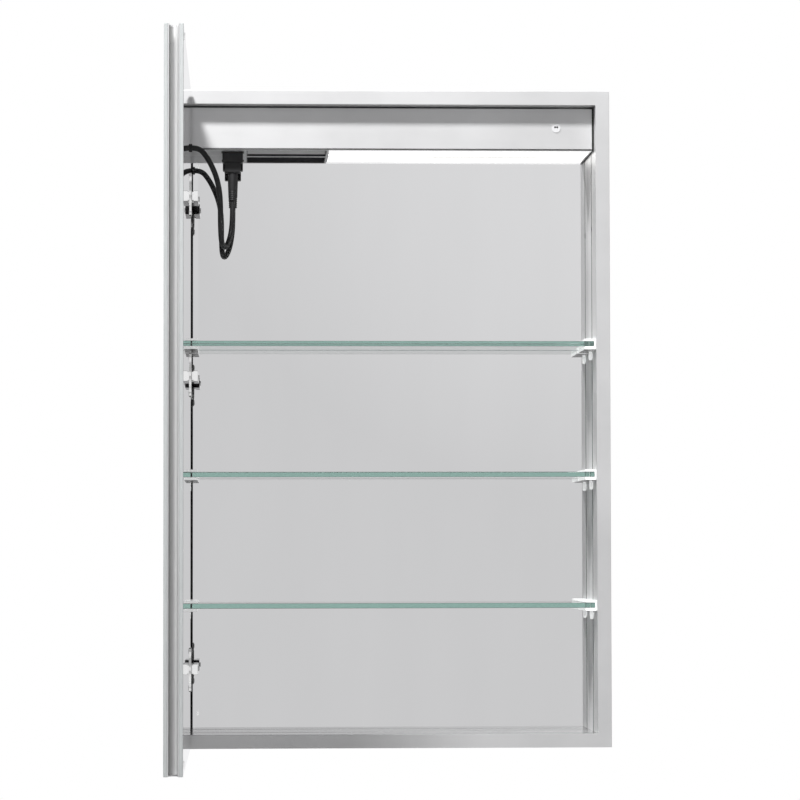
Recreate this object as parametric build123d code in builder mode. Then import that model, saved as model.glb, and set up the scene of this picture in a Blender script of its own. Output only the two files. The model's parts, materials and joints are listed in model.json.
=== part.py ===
"""A recessed bathroom cabinet: an aluminium frame, a lit head, glass shelves and a mirrored door.

All sizes are millimetres. X runs to the right, Y runs into the wall and Z runs up. The origin is
the middle of the cabinet's back face, and the door stands open at a right angle.
Depths are counted back from the front of the frame, and insets in from its outside.
"""

import os
from math import pi, radians, sqrt, tan

from build123d import *

os.makedirs("parts", exist_ok=True)

# Frame
width = 508.0
height = 762.0
interior_depth = 91.0
border = 16.0
profile_wall = 1.6
slot_depth = 52.0
slot_mouth = 5.0
slot_inner = 9.0
slot_lip = 1.5
slot_bottom = 4.0
slot_rib = 3.0
rebate = 8.0

# Back
mirror_glass = 4.0
mirror_pad_thickness = 1.0
back_thickness = 2.0
rebate_clearance = 0.3

# Corner keys
key_leg = 45.0
key_thickness = 12.0
key_clearance = 0.3

# Wall fixing and electrical supply
wall_screw_spacing = 448.0
wall_screw_radius = 2.5
wall_screw_head_radius = 4.5
supply_radius = 11.0
supply_x = -20.0
supply_from_mirror = 17.0

# Lit head
head_recess = 20.0
head_height = 51.2
head_top_gap = 1.9
head_sheet = 2.0
tray_sheet = 1.2
tray_seam = 0.8
tray_lip = 14.0
end_cap = 2.0
end_cap_gap = 0.3
head_lip = 12.0
head_hook = 9.0
bracket_sheet = 1.5
bracket_gap = 0.5
bracket_foot = 24.0
bracket_end_inset = 40.0
head_screw_radius = 1.5
head_screw_head = 2.4
head_screw_count = 3
head_screw_pitch = 127.0

# Light
light_end_gap = 1.7
light_front = 39.0
light_back_gap = 4.0
lens_thickness = 2.2
lens_lip = 1.2
lens_rise = 10.0
lens_wall = 1.5
fit_gap = 0.2
board_thickness = 1.6
chip_size = 3.0
chip_height = 0.8
chip_pitch = 12.0
driver_length = 100.0
driver_width = 30.0
driver_height = 17.0
driver_corner = 2.0

# Sockets in the head
outlet_gap = 4.2
outlet_length = 92.0
outlet_front = 27.0
outlet_back_gap = 6.0
outlet_plate = 2.5
outlet_box_height = 26.0
outlet_box_inset = 6.0
outlet_pitch = 60.0
blade_slot_length = 8.0
blade_slot_width = 2.2
blade_slot_pitch = 12.7
earth_radius = 2.0
earth_offset = 11.0
usb_length = 12.4
usb_width = 3.8
usb_pitch = 11.0
cavity_depth = 12.0
lead_socket_from_left = 69.5
lead_depth = 48.0
lead_socket_length = 26.0
lead_socket_width = 21.0
lead_socket_height = 26.0

# Hand sensor
sensor_from_right = 60.3
sensor_below_top = 40.8
sensor_radius = 5.1
sensor_proud = 0.8
sensor_stem = 4.0
sensor_stem_length = 3.0
sensor_body = 13.0
sensor_body_length = 9.0
eye_radius = 0.75
eye_pitch = 2.6
eye_rise = 1.3

# Door
door_inset = 1.0
door_glass = 4.0
door_core = 12.0
closed_gap = 2.5
stile_width = 48.0
pull_width = 30.0
rail_width = 20.0
door_wall = 1.6
pull_groove_depth = 14.0
pull_groove_lip = 1.2
heater_thickness = 0.6
heater_inset = 70.0
core_clearance = 0.3
core_rib = 6.0
core_pocket = 66.0
cap_depth = 6.0
bumper_radius = 4.0
bumper_thickness = 1.5
bumper_inset = 12.0
bumper_round = 0.5

# Hinges
cup_back_gap = 0.15
corner_clearance = 0.3
hinge_from_top = 125.0
hinge_above_middle = 48.0
hinge_from_bottom = 92.0
pin_radius = 1.25
pin_length = 16.8
pin_clearance = 0.05
eye_wall = 0.85
cup_radius = 17.5
cup_wall = 0.5
cup_floor = 0.6
cup_floor_clearance = 0.6
pivot_from_cup_edge = 3.55
cup_rim = 1.0
cup_flange = 1.2
cup_flange_height = 50.0
cup_flange_width = 22.0
cup_flange_corner = 5.5
cup_hole_clearance = 0.15
cup_screw_from_middle = 21.0
cup_screw_radius = 1.5
cup_screw_head = 2.9
ear_width = 4.4
ear_top = 9.0
arm_height = 12.0
eye_height = 10.0
ear_gap = 0.3
arm_reach = 15.6
arm_bar_top = 0.2
arm_thickness = 11.0
arm_front = 4.0
arm_back = 42.0
plate_thickness = 3.0
plate_front = 5.0
plate_back = 40.0
plate_height = 44.0
plate_corner = 4.0
hinge_screw_depth = 16.0
hinge_screw_spacing = 32.0
hinge_screw_radius = 1.6
hinge_screw_head = 3.2
adjuster_radius = 2.6
adjuster_height = 1.0

# Shelves
shelf_thickness = 6.0
shelf_front = 7.0
shelf_back_gap = 4.0
shelf_end_gap = 2.0
top_shelf_above_hinge = 42.0
bottom_shelf_above_hinge = 75.0
clip_length = 13.0
clip_top = 2.6
clip_bottom = 3.4
clip_grip = 0.1
clip_wall_gap = 0.3
clip_web = 1.4
peg_head_radius = 5.2
peg_head_thickness = 3.4
peg_neck = 4.6
peg_nut = 8.6
peg_nut_thickness = 2.1
peg_height = 12.0

# Lead between the head and the door
lead_diameter = 6.3
gland_radius = 4.8
gland_proud = 2.0
gland_shank = 3.9
gland_length = 8.0
gland_round = 1.0
gland_behind_pivot = 14.0
gland_below_top = 71.0
plug_length = 24.0
plug_width = 18.0
plug_shoulder = 5.8
plug_body_length = 18.8
plug_body_width = 15.0
plug_body_height = 16.5
plug_neck = 12.4
plug_relief = 34.5
plug_corner = 3.0
plug_bevel = 1.45
plug_gap = 0.2
plug_tip_radius = 4.9
blade_width = 4.0
blade_thickness = 1.6
blade_length = 14.0
blade_pitch = 6.5
lead_bends = [
    (-222.5, -127.0, 310.0),
    (-214.0, -129.0, 299.5),
    (-207.5, -131.0, 287.5),
    (-202.6, -130.0, 275.0),
    (-199.4, -125.0, 260.5),
    (-198.4, -116.5, 245.0),
    (-198.4, -106.5, 229.0),
    (-198.1, -98.0, 215.0),
    (-197.2, -89.0, 204.0),
    (-194.4, -75.3, 199.2),
    (-190.2, -61.0, 204.0),
    (-186.4, -51.5, 217.5),
    (-184.5, -50.0, 236.0),
]
arc_share = 0.45

# Places worked out from the sizes above
body_depth = interior_depth + mirror_glass + mirror_pad_thickness + back_thickness
front_y = -body_depth
inner_x = width / 2 - border
inner_z = height / 2 - border
mirror_y = -(mirror_glass + mirror_pad_thickness + back_thickness)

head_bottom = inner_z - head_height
head_top = inner_z - head_top_gap
head_front_y = front_y + head_recess
head_back_y = mirror_y - end_cap_gap
head_end = inner_x - end_cap - end_cap_gap
tray_top = head_bottom + tray_sheet
light_right = head_end - light_end_gap
lens_top = tray_top + lens_rise
lead_socket_x = -width / 2 + lead_socket_from_left
outlet_left = lead_socket_x + lead_socket_length / 2 + outlet_gap
outlet_right = outlet_left + outlet_length
light_left = outlet_right + outlet_gap
light_back = interior_depth - light_back_gap
outlet_back = interior_depth - outlet_back_gap
outlet_y = front_y + (outlet_front + outlet_back) / 2
lead_y = front_y + lead_depth
plug_top = head_bottom - plug_gap
plug_tip = plug_top - plug_shoulder - plug_body_height - plug_relief

door_thickness = door_core + 2 * door_glass
door_width = width - 2 * door_inset
cup_depth = door_glass + door_core - cup_back_gap
cup_bottom = cup_depth - cup_floor
pivot_depth = cup_bottom - cup_floor_clearance - eye_wall - pin_clearance - pin_radius
pivot_y = front_y - closed_gap - pivot_depth
edge_to_pivot = sqrt((closed_gap + pivot_depth - corner_clearance) ** 2 - pivot_depth**2)
pivot_x = -width / 2 + door_inset + edge_to_pivot
door_face_x = pivot_x + pivot_depth
door_edge_y = pivot_y + edge_to_pivot
hinge_heights = [
    height / 2 - hinge_from_top,
    hinge_above_middle,
    -height / 2 + hinge_from_bottom,
]

top_shelf = hinge_heights[1] + top_shelf_above_hinge
bottom_shelf = hinge_heights[2] + bottom_shelf_above_hinge
shelf_tops = [top_shelf, (top_shelf + bottom_shelf) / 2, bottom_shelf]

# The door's own plane: x from its hinged edge, y out of its inner face, z up
door = Plane(origin=(door_face_x, door_edge_y, 0), x_dir=(0, -1, 0), z_dir=(0, 0, 1))


def save(piece, name):
    """Label a finished piece and write it under its name."""
    piece.part.label = name
    export_step(piece.part, f"parts/{name}.step")


def slab(low, high, base=Plane.XY, mode=Mode.ADD):
    """A rectangle between two corners in the base's axes, drawn at low and raised to high."""
    with BuildSketch(base.offset(low[2])) as outline:
        with Locations(((low[0] + high[0]) / 2, (low[1] + high[1]) / 2)):
            Rectangle(high[0] - low[0], high[1] - low[1])
    extrude(outline.sketch, amount=high[2] - low[2], mode=mode)


def rod(start, direction, radius, length, mode=Mode.ADD):
    """A round bar or, with Mode.SUBTRACT, a round hole."""
    with BuildSketch(Plane(origin=start, z_dir=direction)) as outline:
        Circle(radius)
    extrude(outline.sketch, amount=length, mode=mode)


def window(left, right, front, back):
    """An opening through the head's tray, with the fit gap all round."""
    slab(
        (left - fit_gap, front_y + front - fit_gap, head_bottom),
        (right + fit_gap, front_y + back + fit_gap, tray_top),
        mode=Mode.SUBTRACT,
    )


# ---- Frame: four mitred lengths of one hollow profile, inset along x and depth along y ----


def frame_member(plane, length):
    """One length of the frame profile, mitred at both ends."""
    slot_front = slot_depth - slot_inner / 2 - slot_rib
    slot_rear = slot_depth + slot_inner / 2 + slot_rib
    chamber_width = border - 2 * profile_wall
    front_chamber = slot_front - profile_wall
    rear_chamber = interior_depth - profile_wall - slot_rear
    undercut = slot_bottom - slot_lip
    with BuildSketch(plane) as profile:
        with Locations((border / 2, body_depth / 2)):
            Rectangle(border, body_depth)
        with Locations((border / 2, profile_wall + front_chamber / 2)):
            Rectangle(chamber_width, front_chamber, mode=Mode.SUBTRACT)
        with Locations((border / 2, slot_rear + rear_chamber / 2)):
            Rectangle(chamber_width, rear_chamber, mode=Mode.SUBTRACT)
        with Locations((border - slot_lip / 2, slot_depth)):
            Rectangle(slot_lip, slot_mouth, mode=Mode.SUBTRACT)
        with Locations((border - slot_lip - undercut / 2, slot_depth)):
            Rectangle(undercut, slot_inner, mode=Mode.SUBTRACT)
        with Locations(((border + rebate) / 2, (interior_depth + body_depth) / 2)):
            Rectangle(border - rebate, body_depth - interior_depth, mode=Mode.SUBTRACT)
    extrude(profile.sketch, amount=length)
    near_end = plane.origin
    far_end = plane.origin + plane.z_dir * length
    split(bisect_by=Plane(origin=near_end, z_dir=plane.x_dir - plane.z_dir), keep=Keep.BOTTOM)
    split(bisect_by=Plane(origin=far_end, z_dir=plane.x_dir + plane.z_dir), keep=Keep.BOTTOM)


def side_holes(side):
    """Wall screw holes in the slot, and the hinge screw holes that either side carries."""
    outside = side * width / 2
    for z in (-wall_screw_spacing / 2, wall_screw_spacing / 2):
        y = front_y + slot_depth
        rod((outside, y, z), (-side, 0, 0), wall_screw_radius, border, Mode.SUBTRACT)
        head = (side * inner_x, y, z)
        rod(head, (side, 0, 0), wall_screw_head_radius, slot_bottom, Mode.SUBTRACT)
    for z in hinge_heights:
        for offset in (-hinge_screw_spacing / 2, hinge_screw_spacing / 2):
            hole = (side * inner_x, front_y + hinge_screw_depth, z + offset)
            rod(hole, (side, 0, 0), hinge_screw_radius, profile_wall, Mode.SUBTRACT)


left_plane = Plane((-width / 2, front_y, -height / 2), x_dir=(1, 0, 0), z_dir=(0, 0, 1))
right_plane = Plane((width / 2, front_y, height / 2), x_dir=(-1, 0, 0), z_dir=(0, 0, -1))
top_plane = Plane((-width / 2, front_y, height / 2), x_dir=(0, 0, -1), z_dir=(1, 0, 0))
bottom_plane = Plane((width / 2, front_y, -height / 2), x_dir=(0, 0, 1), z_dir=(-1, 0, 0))

with BuildPart() as left_side:
    frame_member(left_plane, height)
    side_holes(-1)
save(left_side, "left_side")

with BuildPart() as right_side:
    frame_member(right_plane, height)
    side_holes(1)
save(right_side, "right_side")

with BuildPart() as top_rail:
    frame_member(top_plane, width)
    supply_hole = (supply_x, mirror_y - supply_from_mirror, height / 2)
    rod(supply_hole, (0, 0, -1), supply_radius, border, Mode.SUBTRACT)
save(top_rail, "top_rail")

with BuildPart() as bottom_rail:
    frame_member(bottom_plane, width)
save(bottom_rail, "bottom_rail")

with BuildPart() as corner_keys:
    key_inset = profile_wall + key_clearance
    key_width = border - 2 * key_inset
    key_front = slot_depth + slot_inner / 2 + slot_rib + key_clearance
    for corner_x, corner_z in ((-1, -1), (-1, 1), (1, -1), (1, 1)):
        outer_x = corner_x * (width / 2 - key_inset)
        outer_z = corner_z * (height / 2 - key_inset)
        key_y = (front_y + key_front, front_y + key_front + key_thickness)
        across = sorted((outer_x, outer_x - corner_x * key_leg))
        upright = sorted((outer_x, outer_x - corner_x * key_width))
        thin = sorted((outer_z, outer_z - corner_z * key_width))
        tall = sorted((outer_z, outer_z - corner_z * key_leg))
        slab((across[0], key_y[0], thin[0]), (across[1], key_y[1], thin[1]))
        slab((upright[0], key_y[0], tall[0]), (upright[1], key_y[1], tall[1]))
save(corner_keys, "corner_keys")


# ---- Back: a sheet, its adhesive pad and the mirror, all seated in the frame's rebate ----

back_x = width / 2 - rebate - rebate_clearance
back_z = height / 2 - rebate - rebate_clearance

with BuildPart() as back_panel:
    slab((-back_x, -back_thickness, -back_z), (back_x, 0, back_z))
save(back_panel, "back_panel")

with BuildPart() as mirror_pad:
    pad_y = -back_thickness - mirror_pad_thickness
    slab((-inner_x, pad_y, -inner_z), (inner_x, -back_thickness, inner_z))
save(mirror_pad, "mirror_pad")

with BuildPart() as back_mirror:
    slab((-back_x, mirror_y, -back_z), (back_x, mirror_y + mirror_glass, back_z))
save(back_mirror, "back_mirror")


# ---- Lit head under the top rail ----

sensor_x = width / 2 - sensor_from_right
sensor_z = height / 2 - sensor_below_top
hook_y = head_front_y + head_sheet + head_lip
screw_z = head_top - head_hook / 2

with BuildPart() as head_front:
    panel_bottom = tray_top + tray_seam
    slab((-head_end, head_front_y, panel_bottom), (head_end, head_front_y + head_sheet, head_top))
    slab((-head_end, head_front_y, head_top - head_sheet), (head_end, hook_y, head_top))
    slab((-head_end, hook_y - head_sheet, head_top - head_hook), (head_end, hook_y, head_top))
    stem_hole = (sensor_x, head_front_y, sensor_z)
    rod(stem_hole, (0, 1, 0), sensor_stem + fit_gap, head_sheet, Mode.SUBTRACT)
    for i in range(head_screw_count):
        x = (i - (head_screw_count - 1) / 2) * head_screw_pitch
        start = (x, hook_y - head_sheet, screw_z)
        rod(start, (0, 1, 0), head_screw_radius + fit_gap, head_sheet, Mode.SUBTRACT)
save(head_front, "head_front")

with BuildPart() as head_tray:
    slab((-head_end, head_front_y, head_bottom), (head_end, head_back_y, tray_top))
    lip_y = head_front_y + head_sheet
    slab((-head_end, lip_y, head_bottom), (head_end, lip_y + tray_sheet, tray_top + tray_lip))
    window(light_left, light_right, light_front, light_back)
    window(outlet_left, outlet_right, outlet_front, outlet_back)
    half_socket = lead_socket_length / 2
    socket_front = lead_depth - lead_socket_width / 2
    window(lead_socket_x - half_socket, lead_socket_x + half_socket,
           socket_front, socket_front + lead_socket_width)
save(head_tray, "head_tray")

with BuildPart() as head_end_caps:
    for side in (-1, 1):
        near = sorted((side * head_end, side * (head_end + end_cap)))
        slab((near[0], head_front_y, head_bottom), (near[1], head_back_y, head_top))
save(head_end_caps, "head_end_caps")

bracket_y = hook_y + bracket_gap
bracket_end = inner_x - bracket_end_inset
bracket_bottom = head_top - head_hook

with BuildPart() as head_bracket:
    slab(
        (-bracket_end, bracket_y, inner_z - bracket_sheet),
        (bracket_end, bracket_y + bracket_foot, inner_z),
    )
    slab(
        (-bracket_end, bracket_y, bracket_bottom),
        (bracket_end, bracket_y + bracket_sheet, inner_z),
    )
    for i in range(head_screw_count):
        x = (i - (head_screw_count - 1) / 2) * head_screw_pitch
        start = (x, bracket_y, screw_z)
        rod(start, (0, 1, 0), head_screw_radius, bracket_sheet, Mode.SUBTRACT)
save(head_bracket, "head_bracket")

with BuildPart() as head_screws:
    for i in range(head_screw_count):
        x = (i - (head_screw_count - 1) / 2) * head_screw_pitch
        head_y = hook_y - head_sheet
        shank = head_sheet + bracket_gap + bracket_sheet
        rod((x, head_y, screw_z), (0, 1, 0), head_screw_radius - fit_gap / 2, shank)
        rod((x, head_y, screw_z), (0, -1, 0), head_screw_head, head_screw_radius)
save(head_screws, "head_screws")

light_y = (front_y + light_front, front_y + light_back)

with BuildPart() as light_lens:
    slab((light_left, light_y[0], head_bottom), (light_right, light_y[1], tray_top + lens_thickness))
    slab(
        (light_left - lens_lip, light_y[0] - lens_lip, tray_top),
        (light_right + lens_lip, light_y[1] + lens_lip, tray_top + lens_thickness),
    )
    for y in (light_y[0], light_y[1] - lens_wall):
        slab((light_left, y, tray_top), (light_right, y + lens_wall, lens_top))
save(light_lens, "light_lens")

with BuildPart() as light_board:
    board_y = (light_y[0], light_y[1])
    slab((light_left, board_y[0], lens_top), (light_right, board_y[1], lens_top + board_thickness))
    chip_count = int((light_right - light_left) / chip_pitch) - 1
    chip_base = Plane((0, 0, lens_top - chip_height))
    with BuildSketch(chip_base) as chips:
        with Locations(((light_left + light_right) / 2, sum(light_y) / 2)):
            with GridLocations(chip_pitch, 2 * chip_pitch, chip_count, 2):
                Rectangle(chip_size, chip_size)
    extrude(chips.sketch, amount=chip_height)
save(light_board, "light_board")

with BuildPart() as light_driver:
    driver_left = light_left + chip_pitch
    driver_y = sum(light_y) / 2 - driver_width / 2
    driver_z = lens_top + board_thickness
    slab(
        (driver_left, driver_y, driver_z),
        (driver_left + driver_length, driver_y + driver_width, driver_z + driver_height),
    )
    fillet(light_driver.edges().filter_by(Axis.Z), radius=driver_corner)
save(light_driver, "light_driver")


def outlet_cavities(bottom, depth):
    """Two earthed outlets with a pair of charging ports between them, cut upward from bottom."""
    middle = (outlet_left + outlet_right) / 2
    with BuildSketch(Plane((middle, outlet_y, bottom))) as holes:
        for centre in (-outlet_pitch / 2, outlet_pitch / 2):
            with Locations((centre, -blade_slot_pitch / 2), (centre, blade_slot_pitch / 2)):
                Rectangle(blade_slot_length, blade_slot_width)
            with Locations((centre - earth_offset, 0)):
                Circle(earth_radius)
        with GridLocations(1, usb_pitch, 1, 2):
            Rectangle(usb_length, usb_width)
    extrude(holes.sketch, amount=depth, mode=Mode.SUBTRACT)


plate_top = head_bottom + outlet_plate

with BuildPart() as outlet_panel:
    slab(
        (outlet_left, front_y + outlet_front, head_bottom),
        (outlet_right, front_y + outlet_back, plate_top),
    )
    slab(
        (outlet_left - lens_lip, front_y + outlet_front - lens_lip, tray_top),
        (outlet_right + lens_lip, front_y + outlet_back + lens_lip, plate_top),
    )
    outlet_cavities(head_bottom, outlet_plate)
save(outlet_panel, "outlet_panel")

with BuildPart() as outlet_box:
    slab(
        (outlet_left + outlet_box_inset, front_y + outlet_front + outlet_box_inset, plate_top),
        (outlet_right - outlet_box_inset, front_y + outlet_back - outlet_box_inset,
         plate_top + outlet_box_height),
    )
    outlet_cavities(plate_top, cavity_depth)
save(outlet_box, "outlet_box")

blade_offsets = (-blade_pitch, 0, blade_pitch)

with BuildPart() as lead_socket:
    slab(
        (lead_socket_x - lead_socket_length / 2, lead_y - lead_socket_width / 2, head_bottom),
        (lead_socket_x + lead_socket_length / 2, lead_y + lead_socket_width / 2,
         head_bottom + lead_socket_height),
    )
    with BuildSketch(Plane((lead_socket_x, lead_y, head_bottom))) as blade_slots:
        with Locations(*[(x, 0) for x in blade_offsets]):
            Rectangle(blade_thickness + 2 * fit_gap, blade_width + 2 * fit_gap)
    extrude(blade_slots.sketch, amount=blade_length + fit_gap, mode=Mode.SUBTRACT)
save(lead_socket, "lead_socket")

sensor_front = head_front_y - sensor_proud
stem_end = head_front_y + head_sheet + sensor_stem_length

with BuildPart() as sensor_housing:
    rod((sensor_x, sensor_front, sensor_z), (0, 1, 0), sensor_radius, sensor_proud)
    rod((sensor_x, head_front_y, sensor_z), (0, 1, 0), sensor_stem, stem_end - head_front_y)
    half_body = sensor_body / 2
    slab(
        (sensor_x - half_body, stem_end, sensor_z - half_body),
        (sensor_x + half_body, stem_end + sensor_body_length, sensor_z + half_body),
    )
    for side in (-1, 1):
        start = (sensor_x + side * eye_pitch / 2, sensor_front, sensor_z + eye_rise)
        rod(start, (0, 1, 0), eye_radius + pin_clearance, sensor_proud + head_sheet, Mode.SUBTRACT)
save(sensor_housing, "sensor_housing")

with BuildPart() as sensor_eyes:
    for side in (-1, 1):
        start = (sensor_x + side * eye_pitch / 2, sensor_front, sensor_z + eye_rise)
        rod(start, (0, 1, 0), eye_radius, sensor_proud + head_sheet)
save(sensor_eyes, "sensor_eyes")


# ---- Door: two mirrors on a frame of stiles and rails, drawn where it stands open ----

door_top = height / 2
cup_s = edge_to_pivot - pivot_from_cup_edge + cup_radius - cup_wall
gland_s = edge_to_pivot + gland_behind_pivot
gland_z = height / 2 - gland_below_top
pull_s = door_width - pull_width


def door_point(s, out, z):
    """The place s along the door from its hinged edge and out from its inner face."""
    return (door_face_x + out, door_edge_y - s, z)


def door_tube(s, z):
    """A hollow rectangular bar between the mirrors: s and z are its (low, high) extents."""
    slab((s[0], -door_glass - door_core, z[0]), (s[1], -door_glass, z[1]), door)


with BuildPart() as door_outer_mirror:
    slab((0, -door_thickness, -door_top), (door_width, -door_glass - door_core, door_top), door)
save(door_outer_mirror, "door_outer_mirror")

with BuildPart() as door_inner_mirror:
    slab((0, -door_glass, -door_top), (door_width, 0, door_top), door)
    for z in hinge_heights:
        start = door_point(cup_s, 0, z)
        rod(start, (-1, 0, 0), cup_radius + cup_hole_clearance, door_glass, Mode.SUBTRACT)
    rod(door_point(gland_s, 0, gland_z), (-1, 0, 0), gland_shank + fit_gap, door_glass, Mode.SUBTRACT)
save(door_inner_mirror, "door_inner_mirror")

hollow = (-door_glass - door_core + door_wall, -door_glass - door_wall)

with BuildPart() as hinge_stile:
    door_tube((0, stile_width), (-door_top, door_top))
    slab(
        (door_wall, hollow[0], -door_top),
        (stile_width - door_wall, hollow[1], door_top),
        door,
        Mode.SUBTRACT,
    )
    for z in hinge_heights:
        start = door_point(cup_s, -door_glass, z)
        rod(start, (-1, 0, 0), cup_radius + cup_hole_clearance, door_core, Mode.SUBTRACT)
    start = door_point(gland_s, -door_glass, gland_z)
    rod(start, (-1, 0, 0), gland_shank + fit_gap, door_wall, Mode.SUBTRACT)
save(hinge_stile, "hinge_stile")

groove_radius = door_core / 2 - pull_groove_lip
groove_middle = -door_glass - door_core / 2
groove_end = door_width - pull_groove_depth
pull_hollow = (pull_s + door_wall, groove_end - door_wall)

with BuildPart() as pull_stile:
    door_tube((pull_s, door_width), (-door_top, door_top))
    with BuildSketch(door.offset(-door_top)) as groove:
        with Locations((groove_end + groove_radius, groove_middle)):
            Circle(groove_radius)
        with Locations(((groove_end + groove_radius + door_width) / 2, groove_middle)):
            Rectangle(pull_groove_depth - groove_radius, 2 * groove_radius)
    extrude(groove.sketch, amount=height, mode=Mode.SUBTRACT)
    slab(
        (pull_hollow[0], hollow[0], -door_top),
        (pull_hollow[1], hollow[1], door_top),
        door,
        Mode.SUBTRACT,
    )
save(pull_stile, "pull_stile")

for name, rail_z in (
    ("door_top_rail", (door_top - rail_width, door_top)),
    ("door_bottom_rail", (-door_top, -door_top + rail_width)),
):
    with BuildPart() as door_rail:
        door_tube((stile_width, pull_s), rail_z)
        slab(
            (stile_width, hollow[0], rail_z[0] + door_wall),
            (pull_s, hollow[1], rail_z[1] - door_wall),
            door,
            Mode.SUBTRACT,
        )
    save(door_rail, name)

with BuildPart() as door_end_caps:
    cap_spans = ((door_wall, stile_width - door_wall), pull_hollow)
    for cap_z in ((-door_top, -door_top + cap_depth), (door_top - cap_depth, door_top)):
        for span in cap_spans:
            slab((span[0], hollow[0], cap_z[0]), (span[1], hollow[1], cap_z[1]), door)
save(door_end_caps, "door_end_caps")

core_z = door_top - rail_width - core_clearance

with BuildPart() as door_filler:
    slab(
        (stile_width + core_clearance, heater_thickness - door_glass - door_core, -core_z),
        (pull_s - core_clearance, -door_glass, core_z),
        door,
    )
    core_plane = Plane(door_point(0, -door_glass, 0), x_dir=(0, -1, 0), z_dir=(-1, 0, 0))
    core_width = pull_s - stile_width - 2 * core_clearance
    columns = int(core_width // core_pocket)
    rows = int(2 * core_z // core_pocket)
    column_pitch = (core_width - core_rib) / columns
    row_pitch = (2 * core_z - core_rib) / rows
    with BuildSketch(core_plane) as pockets:
        with Locations(((stile_width + pull_s) / 2, 0)):
            with GridLocations(column_pitch, row_pitch, columns, rows):
                Rectangle(column_pitch - core_rib, row_pitch - core_rib)
    extrude(pockets.sketch, amount=door_core, mode=Mode.SUBTRACT)
save(door_filler, "door_filler")

with BuildPart() as heater_pad:
    slab(
        (heater_inset, -door_glass - door_core, -door_top + heater_inset),
        (door_width - heater_inset, heater_thickness - door_glass - door_core, door_top - heater_inset),
        door,
    )
save(heater_pad, "heater_pad")

with BuildPart() as door_bumpers:
    for z in (-door_top + bumper_inset, door_top - bumper_inset):
        start = door_point(door_width - bumper_inset, 0, z)
        rod(start, (1, 0, 0), bumper_radius, bumper_thickness)
    fillet(door_bumpers.edges().group_by(Axis.X)[-1], radius=bumper_round)
save(door_bumpers, "door_bumpers")

with BuildPart() as door_gland:
    rod(door_point(gland_s, 0, gland_z), (1, 0, 0), gland_radius, gland_proud)
    rod(door_point(gland_s, 0, gland_z), (-1, 0, 0), gland_shank, gland_length)
    fillet(door_gland.edges().group_by(Axis.X)[-1], radius=gland_round)
save(door_gland, "door_gland")


# ---- Hinges: a cup in the door, and an arm on a plate that reaches into it ----


def hinge_cup(z):
    """The cup sunk into the door, with its flange and the two ears that carry the pin."""
    across = Plane(door_point(cup_s, 0, z), x_dir=(0, 0, 1), z_dir=(-1, 0, 0))
    with BuildSketch(across) as outside:
        Circle(cup_radius)
    extrude(outside.sketch, amount=cup_depth)
    with BuildSketch(across.offset(-cup_flange)) as flange:
        Circle(cup_radius + cup_rim)
        RectangleRounded(cup_flange_height, cup_flange_width, cup_flange_corner)
    extrude(flange.sketch, amount=cup_flange)
    inside = cup_radius - cup_wall
    ear_start = eye_height / 2 + ear_gap
    ear_length = cup_radius - ear_start
    with BuildSketch(across.offset(-cup_flange)) as mouth:
        Circle(inside)
    extrude(mouth.sketch, amount=cup_flange + ear_top, mode=Mode.SUBTRACT)
    with BuildSketch(across.offset(ear_top)) as well:
        Circle(inside)
        ear_row = across.to_local_coords(Vector(pivot_x, pivot_y, z)).Y
        for side in (-1, 1):
            with Locations((side * (ear_start + ear_length / 2), ear_row)):
                Rectangle(ear_length, ear_width, mode=Mode.SUBTRACT)
    extrude(well.sketch, amount=cup_bottom - ear_top, mode=Mode.SUBTRACT)
    bore = pin_length + 2 * pin_clearance
    start = (pivot_x, pivot_y, z - bore / 2)
    rod(start, (0, 0, 1), pin_radius + pin_clearance, bore, Mode.SUBTRACT)
    for side in (-1, 1):
        screw = door_point(cup_s, cup_flange, z + side * cup_screw_from_middle)
        rod(screw, (-1, 0, 0), cup_screw_radius + pin_clearance, cup_flange, Mode.SUBTRACT)


def hinge_arm(z):
    """The arm: a body on the plate, a neck forward into the cup and an eye on the pin."""
    wall_x = -inner_x + plate_thickness
    arm_x = wall_x + arm_thickness
    neck_x = pivot_x + arm_reach
    bar_low = pivot_y - pin_radius - pin_clearance - eye_wall
    bar_high = pivot_y + arm_bar_top
    slab(
        (wall_x, front_y + arm_front, z - arm_height / 2),
        (arm_x, front_y + arm_back, z + arm_height / 2),
    )
    slab((neck_x, bar_low, z - arm_height / 2), (arm_x, front_y + arm_back, z + arm_height / 2))
    slab((pivot_x, bar_low, z - eye_height / 2), (arm_x, bar_high, z + eye_height / 2))
    base = (pivot_x, pivot_y, z - eye_height / 2)
    rod(base, (0, 0, 1), pin_radius + pin_clearance + eye_wall, eye_height)
    rod(base, (0, 0, 1), pin_radius + pin_clearance, eye_height, Mode.SUBTRACT)


for number, z in enumerate(hinge_heights, start=1):
    with BuildPart() as hinge_cup_piece:
        hinge_cup(z)
    save(hinge_cup_piece, f"hinge_cup_{number}")

    with BuildPart() as hinge_arm_piece:
        hinge_arm(z)
    save(hinge_arm_piece, f"hinge_arm_{number}")

    with BuildPart() as hinge_plate:
        slab(
            (-inner_x, front_y + plate_front, z - plate_height / 2),
            (-inner_x + plate_thickness, front_y + plate_back, z + plate_height / 2),
        )
        fillet(hinge_plate.edges().filter_by(Axis.X), radius=plate_corner)
        for offset in (-hinge_screw_spacing / 2, hinge_screw_spacing / 2):
            hole = (-inner_x, front_y + hinge_screw_depth, z + offset)
            rod(hole, (1, 0, 0), hinge_screw_radius, plate_thickness, Mode.SUBTRACT)
    save(hinge_plate, f"hinge_plate_{number}")

with BuildPart() as hinge_pins:
    for z in hinge_heights:
        rod((pivot_x, pivot_y, z - pin_length / 2), (0, 0, 1), pin_radius, pin_length)
save(hinge_pins, "hinge_pins")

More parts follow.
